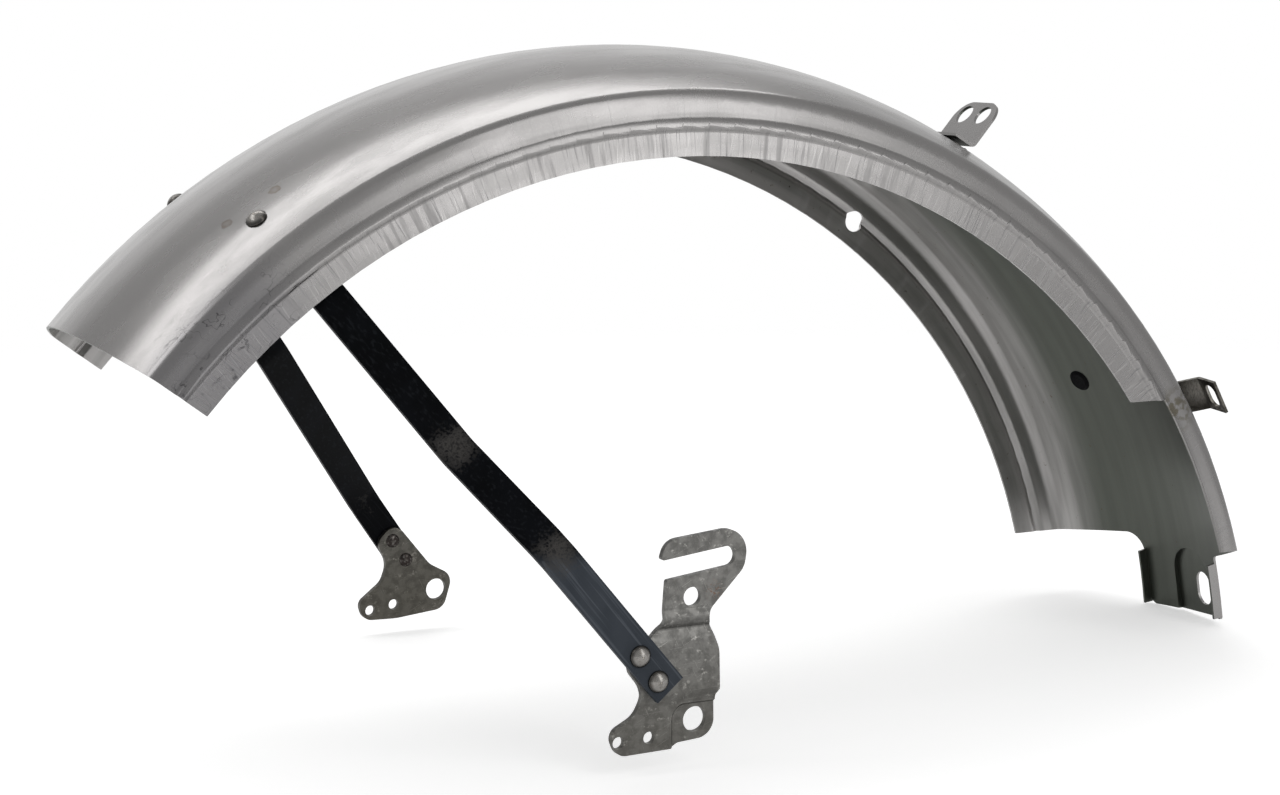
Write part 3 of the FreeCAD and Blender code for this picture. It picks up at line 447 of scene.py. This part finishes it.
def clip_steel(looks):
    """Spring clip of folded strip, oiled and darkened, rubbed bright along the folds."""
    def sockets(tree):
        place = millimetres(tree)
        blotch = grain(tree, place, (4.0, 4.0, 4.0), detail=4.0)
        fine = grain(tree, place, (0.7, 0.7, 6.0), detail=2.0)
        # the rubbed place reaches 12 mm from the clip's middle
        rubbed = add(tree, MAP, [distance(tree, place, RUBBED_CLIP), 12.0, 2.0, 0.0, 0.9], **SOFT)
        colour = layers(
            tree, rgba(looks.clip),
            (add(tree, MAP, [blotch, 0.4, 0.65], **SOFT), linear("#4a4842")),
            (rubbed, add(tree, MAP, [fine, 0.35, 0.6, 0.5, 1.0], **SOFT), linear("#c6c3bc")),
        )
        rough = add(tree, MAP, [blotch, 0.3, 0.7, 0.32, 0.5], **SOFT)
        bump = add(tree, "ShaderNodeBump", {
            "Height": fine, "Strength": 0.4, "Distance": 0.04 * MM})
        return {"Base Color": colour, "Metallic": 1.0, "Roughness": rough, "Normal": bump}
    return finished("dark_clip_steel", sockets)


def rubber_plug(looks):
    """Moulded rubber plug: matte black, with a little dust."""
    def sockets(tree):
        dust = grain(tree, millimetres(tree), (1.2, 1.2, 1.2), detail=4.0)
        colour = layers(tree, rgba(looks.plug),
                        (add(tree, MAP, [dust, 0.5, 0.8, 0.0, 0.15], **SOFT), linear("#2c2b2a")))
        rough = add(tree, MAP, [dust, 0.3, 0.7, 0.5, 0.7], **SOFT)
        bump = add(tree, "ShaderNodeBump", {
            "Height": dust, "Strength": 0.3, "Distance": 0.05 * MM})
        return {"Base Color": colour, "Metallic": 0.0, "Roughness": rough, "Normal": bump,
                "Specular IOR Level": 0.1}
    return finished("black_rubber", sockets)


def weld_metal():
    """Gas weld left unground: rippled grey metal with brown heat scale."""
    def sockets(tree):
        ripple = grain(tree, millimetres(tree), (0.7, 0.7, 0.7), detail=4.0)
        colour = layers(tree, rgba(linear("#8a8782")),
                        (add(tree, MAP, [ripple, 0.45, 0.65], **SOFT), linear("#55493d")))
        rough = add(tree, MAP, [ripple, 0.3, 0.7, 0.35, 0.55], **SOFT)
        bump = add(tree, "ShaderNodeBump", {
            "Height": ripple, "Strength": 0.7, "Distance": 0.15 * MM})
        return {"Base Color": colour, "Metallic": 0.9, "Roughness": rough, "Normal": bump}
    return finished("weld_metal", sockets)


def studio_paper(looks, low):
    """Matt paper under the fender: it takes the shadow, shows white, and ends softly 0.7 to 1.6 m
    out, so that no horizon shows."""
    paper = bpy.data.materials.new("studio_paper")
    paper.use_nodes = True
    tree = paper.node_tree
    tree.nodes.clear()
    rays = add(tree, "ShaderNodeLightPath")
    mirrored = add(tree, MATH, [rays.outputs["Is Glossy Ray"],
                                rays.outputs["Is Transmission Ray"]], operation="MAXIMUM")
    lift = add(tree, MATH, [
        add(tree, MATH, [rays.outputs["Is Camera Ray"], 0.48], operation="MULTIPLY"),
        add(tree, MATH, [mirrored, 0.2], operation="MULTIPLY")], operation="ADD")
    matt = add(tree, "ShaderNodeBsdfDiffuse", {"Color": rgba(looks.floor)})
    glow = add(tree, "ShaderNodeEmission", {"Strength": lift})
    away = distance(tree, add(tree, "ShaderNodeTexCoord").outputs["Object"],
                    (FLOOR_MIDDLE, 0.0, low))
    fade = add(tree, "ShaderNodeMixShader", [add(tree, MAP, [away, 0.7, 1.6], **SOFT),
                                             add(tree, "ShaderNodeAddShader", [matt, glow]),
                                             add(tree, "ShaderNodeBsdfTransparent")])
    add(tree, "ShaderNodeOutputMaterial", {"Surface": fade})
    return paper


def put_on(material, *names):
    """Give named pieces of the frame a finish on their own slots."""
    for name in names:
        for slot in NODES[name].material_slots:
            slot.material = material


def placed(name, mesh):
    """A new object with the mesh, in the scene."""
    piece = bpy.data.objects.new(name, mesh)
    bpy.context.scene.collection.objects.link(piece)
    return piece


def evened(name, node):
    """A merged copy of a node pressed round the arch, with one normal along each ring of points."""
    work = bmesh.new()
    work.from_mesh(node.data)
    bmesh.ops.remove_doubles(work, verts=work.verts, dist=0.001 * MM)
    mesh = bpy.data.meshes.new(name)
    work.to_mesh(mesh)
    work.free()
    points = np.empty(3 * len(mesh.vertices))
    mesh.vertices.foreach_get("co", points)
    points = points.reshape(-1, 3) / MM - np.array(AXLE)
    corner = np.empty(len(mesh.loops), int)
    mesh.loops.foreach_get("vertex_index", corner)
    normal, area = np.empty(3 * len(mesh.polygons)), np.empty(len(mesh.polygons))
    mesh.polygons.foreach_get("normal", normal)
    mesh.polygons.foreach_get("area", area)
    normal, face = normal.reshape(-1, 3), np.repeat(np.arange(len(area)), 3)
    angle = np.arctan2(points[:, 2], points[:, 0])
    turned = angle[corner].reshape(-1, 3)
    middle = (turned.min(axis=1) + turned.max(axis=1)) / 2
    # each face's normal as seen at the middle of its own span of the arch: out, across, along
    seen = np.stack([normal[:, 0] * np.cos(middle) + normal[:, 2] * np.sin(middle), normal[:, 1],
                     normal[:, 2] * np.cos(middle) - normal[:, 0] * np.sin(middle)], axis=1)
    radius = np.hypot(points[:, 0], points[:, 2])
    ring = np.round(np.stack([radius, points[:, 1]], axis=1) / RING_STEP)
    ring, owner, count = np.unique(ring, axis=0, return_inverse=True, return_counts=True)
    owner = owner.ravel()
    # a point that few others share a ring with keeps the normals of its own faces
    lone = count[owner] < RING_POINTS
    owner = np.where(lone, len(ring) + np.arange(len(points)), owner)
    order = np.argsort(owner[corner], kind="stable")
    cuts = np.flatnonzero(np.diff(owner[corner][order])) + 1
    result = np.empty((len(corner), 3))
    for group in np.split(order, cuts):
        alone = lone[corner[group[0]]]
        mine = normal[face[group]] if alone else seen[face[group]]
        near = (mine @ mine.T > math.cos(CREASE)) * area[face[group]]
        mean = near @ mine
        if not alone:
            # back from out, across and along to the place of each corner
            a = angle[corner[group]]
            own_end = np.abs(mean[:, 2:]) > END_SHARE * np.linalg.norm(mean, axis=1, keepdims=True)
            along = mean[:, 2:] * np.stack([-np.sin(a), 0 * a, np.cos(a)], axis=1) * own_end
            mean = np.stack([mean[:, 0] * np.cos(a), mean[:, 1], mean[:, 0] * np.sin(a)],
                            axis=1) + along
        result[group] = mean / np.linalg.norm(mean, axis=1, keepdims=True)
    mesh.polygons.foreach_set("use_smooth", [True] * len(mesh.polygons))
    mesh.normals_split_custom_set(result.tolist())
    return placed(name, mesh)


def lathe(name, profile, tail, steps=48):
    """A turned piece about Z from (radius, height) points in mm, first and last on the axis. Its
    turning attribute holds each point's radius, and 1 for a tail or 0 for a head."""
    work = bmesh.new()
    turning = work.verts.layers.float_vector.new("turning")
    rows = []
    for radius, height in profile:
        row = []
        for i in range(1 if radius == 0 else steps):
            a = 2 * math.pi * i / steps
            vert = work.verts.new(Vector((radius * math.cos(a), radius * math.sin(a), height)) * MM)
            vert[turning] = (radius, tail, 0.0)
            row.append(vert)
        rows.append(row)
    for low, high in zip(rows, rows[1:]):
        for i in range(steps):
            j = (i + 1) % steps
            ring = [low[i % len(low)], low[j % len(low)], high[j % len(high)], high[i % len(high)]]
            corners = list(dict.fromkeys(ring))
            if len(corners) > 2:
                work.faces.new(corners)
    bmesh.ops.recalc_face_normals(work, faces=work.faces)
    mesh = bpy.data.meshes.new(name)
    work.to_mesh(mesh)
    work.free()
    mesh.polygons.foreach_set("use_smooth", [True] * len(mesh.polygons))
    return placed(name, mesh)


def places(name, spots):
    """A mesh of single points, each with the direction that its copy faces."""
    mesh = bpy.data.meshes.new(name)
    mesh.from_pydata([tuple(p) for p, _ in spots], [], [])
    out = mesh.attributes.new("out", "FLOAT_VECTOR", "POINT")
    out.data.foreach_set("vector", np.array([tuple(d) for _, d in spots], np.float32).ravel())
    return placed(name, mesh)


def repeat_tree(name, inputs):
    """An empty geometry tree with a geometry input and output and the named inputs."""
    tree = bpy.data.node_groups.new(name, "GeometryNodeTree")
    tree.interface.new_socket("Geometry", in_out="INPUT", socket_type="NodeSocketGeometry")
    for label, kind, value in inputs:
        socket = tree.interface.new_socket(label, in_out="INPUT", socket_type=kind)
        if value is not None:
            socket.default_value = value
    tree.interface.new_socket("Geometry", in_out="OUTPUT", socket_type="NodeSocketGeometry")
    return tree, tree.nodes.new("NodeGroupInput"), tree.nodes.new("NodeGroupOutput")


def copies_faced(tree, start, end, shape, scale, material):
    """Lay a copy of the shape on each point, faced the way that the point says, as one mesh."""
    facing = add(tree, "GeometryNodeInputNamedAttribute", {"Name": "out"}, data_type="FLOAT_VECTOR")
    turn = add(tree, "FunctionNodeAlignRotationToVector", {"Vector": facing.outputs[0]}, axis="Z")
    copies = add(tree, "GeometryNodeInstanceOnPoints", {
        "Points": start.outputs["Geometry"], "Instance": shape, "Rotation": turn, "Scale": scale})
    solid = add(tree, "GeometryNodeRealizeInstances", [copies])
    dressed = add(tree, "GeometryNodeSetMaterial", {"Geometry": solid, "Material": material})
    tree.links.new(dressed.outputs[0], end.inputs[0])


def grown(name, host, tree, values, material):
    """The tree's result on its host as a plain mesh object of its own."""
    modifier = host.modifiers.new("repeat", "NODES")
    modifier.node_group = tree
    for item in tree.interface.items_tree:
        if item.in_out == "INPUT" and item.name in values:
            modifier[item.identifier] = values[item.name]
    ready = host.evaluated_get(bpy.context.evaluated_depsgraph_get())
    mesh = bpy.data.meshes.new_from_object(ready)
    mesh.name = name
    mesh.materials.clear()
    mesh.materials.append(material)
    host.modifiers.remove(modifier)
    bpy.data.objects.remove(host)
    return placed(name, mesh)


class ShellLooks(bpy.types.PropertyGroup):
    """Colours and marks of the pressed steel sheet."""
    sheet: bpy.props.FloatVectorProperty(
        name="Sheet", description="Colour of the bare steel outside", subtype="COLOR",
        min=0.0, max=1.0, default=linear("#a19f9e"))
    inside: bpy.props.FloatVectorProperty(
        name="Inside", description="Colour of the steel inside the arch", subtype="COLOR",
        min=0.0, max=1.0, default=linear("#62655f"))
    scratch_pitch: bpy.props.FloatProperty(
        name="Scratch pitch", description="Spacing of the scratches on the skirt",
        unit="LENGTH", default=0.9 * MM, min=0.2 * MM)
    spot_weld_one: bpy.props.FloatVectorProperty(
        name="Rear spot weld", description="Place of the rear spot weld from the axle",
        subtype="TRANSLATION", unit="LENGTH", default=(-0.2219, -0.0503, 0.2995))
    spot_weld_two: bpy.props.FloatVectorProperty(
        name="Front spot weld", description="Place of the front spot weld from the axle",
        subtype="TRANSLATION", unit="LENGTH", default=(-0.1990, -0.0520, 0.3146))


class SmallLooks(bpy.types.PropertyGroup):
    """Colours and sizes of the stay, the plates and the small pieces."""
    bar: bpy.props.FloatVectorProperty(
        name="Bar", description="Colour of the blackened stay", subtype="COLOR",
        min=0.0, max=1.0, default=linear("#060709"))
    bar_worn: bpy.props.FloatVectorProperty(
        name="Worn bar", description="Colour of the bare patches at the bends", subtype="COLOR",
        min=0.0, max=1.0, default=linear("#4a4846"))
    plate: bpy.props.FloatVectorProperty(
        name="Right plate", description="Colour of the hook plate", subtype="COLOR",
        min=0.0, max=1.0, default=linear("#7d7c79"))
    plate_left: bpy.props.FloatVectorProperty(
        name="Left plate", description="Colour of the plain side plate", subtype="COLOR",
        min=0.0, max=1.0, default=linear("#62605b"))
    rivet: bpy.props.FloatVectorProperty(
        name="Rivet", description="Colour of the rivet heads", subtype="COLOR",
        min=0.0, max=1.0, default=linear("#a09d99"))
    ring_pitch: bpy.props.FloatProperty(
        name="Ring pitch", description="Spacing of the turning marks on a rivet head",
        unit="LENGTH", default=0.55 * MM, min=0.1 * MM)
    clip: bpy.props.FloatVectorProperty(
        name="Clip", description="Colour of the folded clip", subtype="COLOR",
        min=0.0, max=1.0, default=linear("#6f6c66"))
    plug: bpy.props.FloatVectorProperty(
        name="Plug", description="Colour of the rubber plug", subtype="COLOR",
        min=0.0, max=1.0, default=linear("#08090b"))
    tack: bpy.props.FloatProperty(
        name="Weld tack", description="Radius of a weld tack at the ear",
        unit="LENGTH", default=1.5 * MM, min=0.3 * MM)
    tack_seed: bpy.props.IntProperty(
        name="Tack seed", description="Seed of the tacks' sizes", default=4, min=0)


class StudioLooks(bpy.types.PropertyGroup):
    """Camera, lamps and floor."""
    lens: bpy.props.FloatProperty(
        name="Lens", description="Focal length on a 36 mm sensor", subtype="DISTANCE_CAMERA",
        unit="CAMERA", default=75.3, min=10.0)
    top: bpy.props.FloatProperty(
        name="Top light", description="Brightness of the wide soft lamp above",
        default=2.3, min=0.0)
    side: bpy.props.FloatProperty(
        name="Side light", description="Brightness of the tall soft lamp at the near side",
        default=1.7, min=0.0)
    rear: bpy.props.FloatProperty(
        name="Rear light", description="Brightness of the soft lamp behind the rear end",
        default=1.9, min=0.0)
    floor: bpy.props.FloatVectorProperty(
        name="Floor", description="Colour of the floor", subtype="COLOR",
        min=0.0, max=1.0, default=linear("#f2f2f2"))


class FENDER_OT_shell(bpy.types.Operator):
    """Finish the fender shell, the doublers under its crown and the ear"""
    bl_idname = "fender.shell"
    bl_label = "Finish the shell"

    def execute(self, context):
        steel = sheet_steel(context.scene.fender_shell)
        put_on(steel, "fender_shell", "crown_doubler_right", "crown_doubler_left", "crown_ear")
        sheet = evened("fender_sheet", NODES["fender_shell"])
        sheet.data.materials.append(steel)
        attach(sheet, "root")
        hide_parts("fender_shell")
        return {"FINISHED"}


class FENDER_OT_stay(bpy.types.Operator):
    """Finish the blackened stay hoop"""
    bl_idname = "fender.stay"
    bl_label = "Finish the stay"

    def execute(self, context):
        put_on(blackened_bar(context.scene.fender_small), "stay_hoop")
        return {"FINISHED"}


class FENDER_OT_plates(bpy.types.Operator):
    """Finish the hook plate and the plain side plate"""
    bl_idname = "fender.plates"
    bl_label = "Finish the plates"

    def execute(self, context):
        looks = context.scene.fender_small
        put_on(plate_steel("grey_plate_steel", looks.plate, shade(looks.plate, 0.74),
                           linear("#bdbbb6")), "hook_plate_right")
        put_on(plate_steel("dark_plate_steel", looks.plate_left, shade(looks.plate_left, 0.7),
                           linear("#97948c")), "side_plate_left")
        return {"FINISHED"}


class FENDER_OT_rivets(bpy.types.Operator):
    """Set the six turned rivets, each a domed head and a flat tail"""
    bl_idname = "fender.rivets"
    bl_label = "Set the rivets"

    def execute(self, context):
        heads, tails = [], []
        tilt = math.asin(CROWN_RIVET_ACROSS / CROWN_CURVE)
        for name in RIVETS:
            side = -1.0 if "right" in name else 1.0
            axis = Vector((0.0, side, 0.0))
            if name.startswith("crown"):
                axis = Vector((math.cos(tilt) * math.cos(STAY_ANGLE), side * math.sin(tilt),
                               math.cos(tilt) * math.sin(STAY_ANGLE)))
            points = sorted((v.co.copy() for v in NODES[name].data.vertices), key=axis.dot)
            top, low = points[-1], axis.dot(points[0])
            heads.append((top, axis))
            tails.append((top + axis * (low - axis.dot(top)), -axis))
        # head: a dimple left by the lathe, the dome, a rounded rim, the flat under it, the shank
        dome = [(0.0, 3.3), (0.3, 3.3), (0.5, HEAD_RISE)]
        curve = (HEAD ** 2 + DOME_RISE ** 2) / (2 * DOME_RISE)
        for i in range(1, DOME_STEPS + 1):
            r = HEAD * i / DOME_STEPS
            dome.append((r, HEAD_RISE - curve + math.sqrt(curve ** 2 - r * r)))
        dome += [(HEAD, 0.12), (5.16, 0.0), (2.75, 0.0), (SHANK, -0.1), (SHANK, -SHANK_LENGTH),
                 (0.0, -SHANK_LENGTH)]
        head = lathe("rivet_head", [(r, h - HEAD_RISE) for r, h in dome], 0.0)
        # tail: flat in the middle and rounded down to its rim
        tail = lathe("rivet_tail", [
            (0.0, 0.0), (1.7, 0.0), (2.8, -0.12), (3.5, -0.45), (3.87, -0.8), (3.95, -1.0),
            (SHANK, -1.05), (SHANK, -TAIL_SHANK_LENGTH), (0.0, -TAIL_SHANK_LENGTH)], 1.0)
        steel = turned_steel(context.scene.fender_small)
        tree, start, end = repeat_tree("set_rivets", [
            ("Rivet", "NodeSocketObject", None), ("Size", "NodeSocketFloat", 1.0)])
        shape = add(tree, "GeometryNodeObjectInfo", {"Object": start.outputs["Rivet"]})
        copies_faced(tree, start, end, shape.outputs["Geometry"], start.outputs["Size"], steel)
        made = [grown("rivet_heads", places("head_places", heads), tree, {"Rivet": head}, steel),
                grown("rivet_tails", places("tail_places", tails), tree, {"Rivet": tail}, steel)]
        for pattern in head, tail:
            bpy.data.objects.remove(pattern)
        for piece in made:
            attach(piece, "root")
            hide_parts(*RIVETS)
        return {"FINISHED"}


class FENDER_OT_small(bpy.types.Operator):
    """Finish the clip and the rubber plug at the front of the crown"""
    bl_idname = "fender.small"
    bl_label = "Finish the clip and plug"

    def execute(self, context):
        looks = context.scene.fender_small
        put_on(clip_steel(looks), "front_clip")
        put_on(rubber_plug(looks), "crown_plug")
        return {"FINISHED"}


class FENDER_OT_tacks(bpy.types.Operator):
    """Lay the weld tacks that hold the ear's foot to the crown"""
    bl_idname = "fender.tacks"
    bl_label = "Lay the weld tacks"

    def execute(self, context):
        looks = context.scene.fender_small
        spots = []
        for across, angle in TACKS:
            reach = CROWN_MIDDLE + math.sqrt(CROWN_CURVE ** 2 - across ** 2) + TACK_LIFT
            a = math.radians(angle)
            spots.append((Vector((AXLE[0] + reach * math.cos(a), across,
                                  AXLE[2] + reach * math.sin(a))) * MM,
                          Vector((math.cos(a), across / CROWN_CURVE, math.sin(a))).normalized()))
        steel = weld_metal()
        tree, start, end = repeat_tree("lay_tacks", [
            ("Radius", "NodeSocketFloat", looks.tack), ("Seed", "NodeSocketInt", looks.tack_seed)])
        drop = add(tree, "GeometryNodeMeshIcoSphere", {
            "Radius": start.outputs["Radius"], "Subdivisions": 4})
        # a tack is wider than it is high
        spread = add(tree, "FunctionNodeRandomValue", {
            0: (0.8, 0.7, 0.45), 1: (1.3, 1.0, 0.65), "Seed": start.outputs["Seed"]},
            data_type="FLOAT_VECTOR")
        copies_faced(tree, start, end, drop.outputs["Mesh"], spread.outputs[0], steel)
        piece = grown("ear_weld_tacks", places("tack_places", spots), tree,
                      {"Radius": looks.tack, "Seed": looks.tack_seed}, steel)
        piece.data.polygons.foreach_set("use_smooth", [True] * len(piece.data.polygons))
        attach(piece, "root")
        return {"FINISHED"}


class FENDER_OT_stage(bpy.types.Operator):
    """Set the camera, the soft lamps, the pale floor and the studio round the fender"""
    bl_idname = "fender.stage"
    bl_label = "Set the stage"

    def execute(self, context):
        looks = context.scene.fender_studio
        scene = context.scene
        scene.view_settings.view_transform = "Standard"

        lens = bpy.data.cameras.new("camera")
        lens.sensor_width, lens.sensor_fit, lens.lens = 36.0, "HORIZONTAL", looks.lens
        camera = placed("camera", lens)
        camera.location = Vector(VIEWPOINT) * MM
        line = Vector(LOOKED_AT) * MM - camera.location
        camera.rotation_mode = "QUATERNION"
        camera.rotation_quaternion = line.to_track_quat("-Z", "Y")
        scene.camera = camera

        for name, (place, target, wide, deep, turn) in LAMPS.items():
            lamp = bpy.data.lights.new(name + "_lamp", "AREA")
            lamp.shape, lamp.size, lamp.size_y = "RECTANGLE", wide, deep
            lamp.energy = getattr(looks, name) * math.pi * wide * deep
            holder = placed(name + "_lamp", lamp)
            holder.location = place
            holder.rotation_mode = "QUATERNION"
            aim = (Vector(target) - Vector(place)).to_track_quat("-Z", "Y")
            holder.rotation_quaternion = aim @ Quaternion((0.0, 0.0, 1.0), math.radians(turn))

        # floor: a disc just under the lowest piece
        low = CAD_BOX[0][2] - FLOOR_GAP
        work = bmesh.new()
        bmesh.ops.create_circle(work, cap_ends=True, segments=96, radius=FLOOR_RADIUS)
        bmesh.ops.translate(work, verts=work.verts, vec=(FLOOR_MIDDLE, 0.0, low))
        mesh = bpy.data.meshes.new("floor")
        work.to_mesh(mesh)
        work.free()
        mesh.materials.append(studio_paper(looks, low))
        placed("floor", mesh)

        # room: white to the camera, and brightest behind the fender for all else
        world = bpy.data.worlds.new("studio_room")
        world.use_nodes = True
        scene.world = world
        tree = world.node_tree
        tree.nodes.clear()
        rays = add(tree, "ShaderNodeLightPath")
        behind = add(tree, VECTOR, [add(tree, "ShaderNodeTexCoord").outputs["Generated"], BACKDROP],
                     operation="DOT_PRODUCT").outputs["Value"]
        depth = add(tree, MAP, [behind, 0.72, 0.98, 0.46, 1.0], **SOFT)
        level = add(tree, MATH, [depth, rays.outputs["Is Camera Ray"]], operation="MAXIMUM")
        room = add(tree, "ShaderNodeBackground", {"Color": (1.0, 1.0, 1.0, 1.0), "Strength": level})
        add(tree, "ShaderNodeOutputWorld", {"Surface": room})
        return {"FINISHED"}


class FENDER_PT_panel(bpy.types.Panel):
    """Sizes and colours of the fender, and the steps that dress it"""
    bl_idname = "FENDER_PT_panel"
    bl_label = "Rear fender"
    bl_space_type = "VIEW_3D"
    bl_region_type = "UI"
    bl_category = "Fender"

    def draw(self, context):
        for group, steps in (
                (context.scene.fender_shell, [FENDER_OT_shell]),
                (context.scene.fender_small, [FENDER_OT_stay, FENDER_OT_plates, FENDER_OT_rivets,
                                              FENDER_OT_small, FENDER_OT_tacks]),
                (context.scene.fender_studio, [FENDER_OT_stage])):
            box = self.layout.box()
            for name in group.__annotations__:
                box.prop(group, name)
            for step in steps:
                box.operator(step.bl_idname)


CLASSES = (ShellLooks, SmallLooks, StudioLooks, FENDER_OT_shell, FENDER_OT_stay, FENDER_OT_plates,
           FENDER_OT_rivets, FENDER_OT_small, FENDER_OT_tacks, FENDER_OT_stage, FENDER_PT_panel)


def register():
    for cls in CLASSES:
        bpy.utils.register_class(cls)
    bpy.types.Scene.fender_shell = bpy.props.PointerProperty(type=ShellLooks)
    bpy.types.Scene.fender_small = bpy.props.PointerProperty(type=SmallLooks)
    bpy.types.Scene.fender_studio = bpy.props.PointerProperty(type=StudioLooks)


def unregister():
    del bpy.types.Scene.fender_studio
    del bpy.types.Scene.fender_small
    del bpy.types.Scene.fender_shell
    for cls in reversed(CLASSES):
        bpy.utils.unregister_class(cls)


def main():
    register()
    bpy.ops.fender.shell()
    bpy.ops.fender.stay()
    bpy.ops.fender.plates()
    bpy.ops.fender.rivets()
    bpy.ops.fender.small()
    bpy.ops.fender.tacks()
    bpy.ops.fender.stage()


if __name__ == "__main__":
    main()
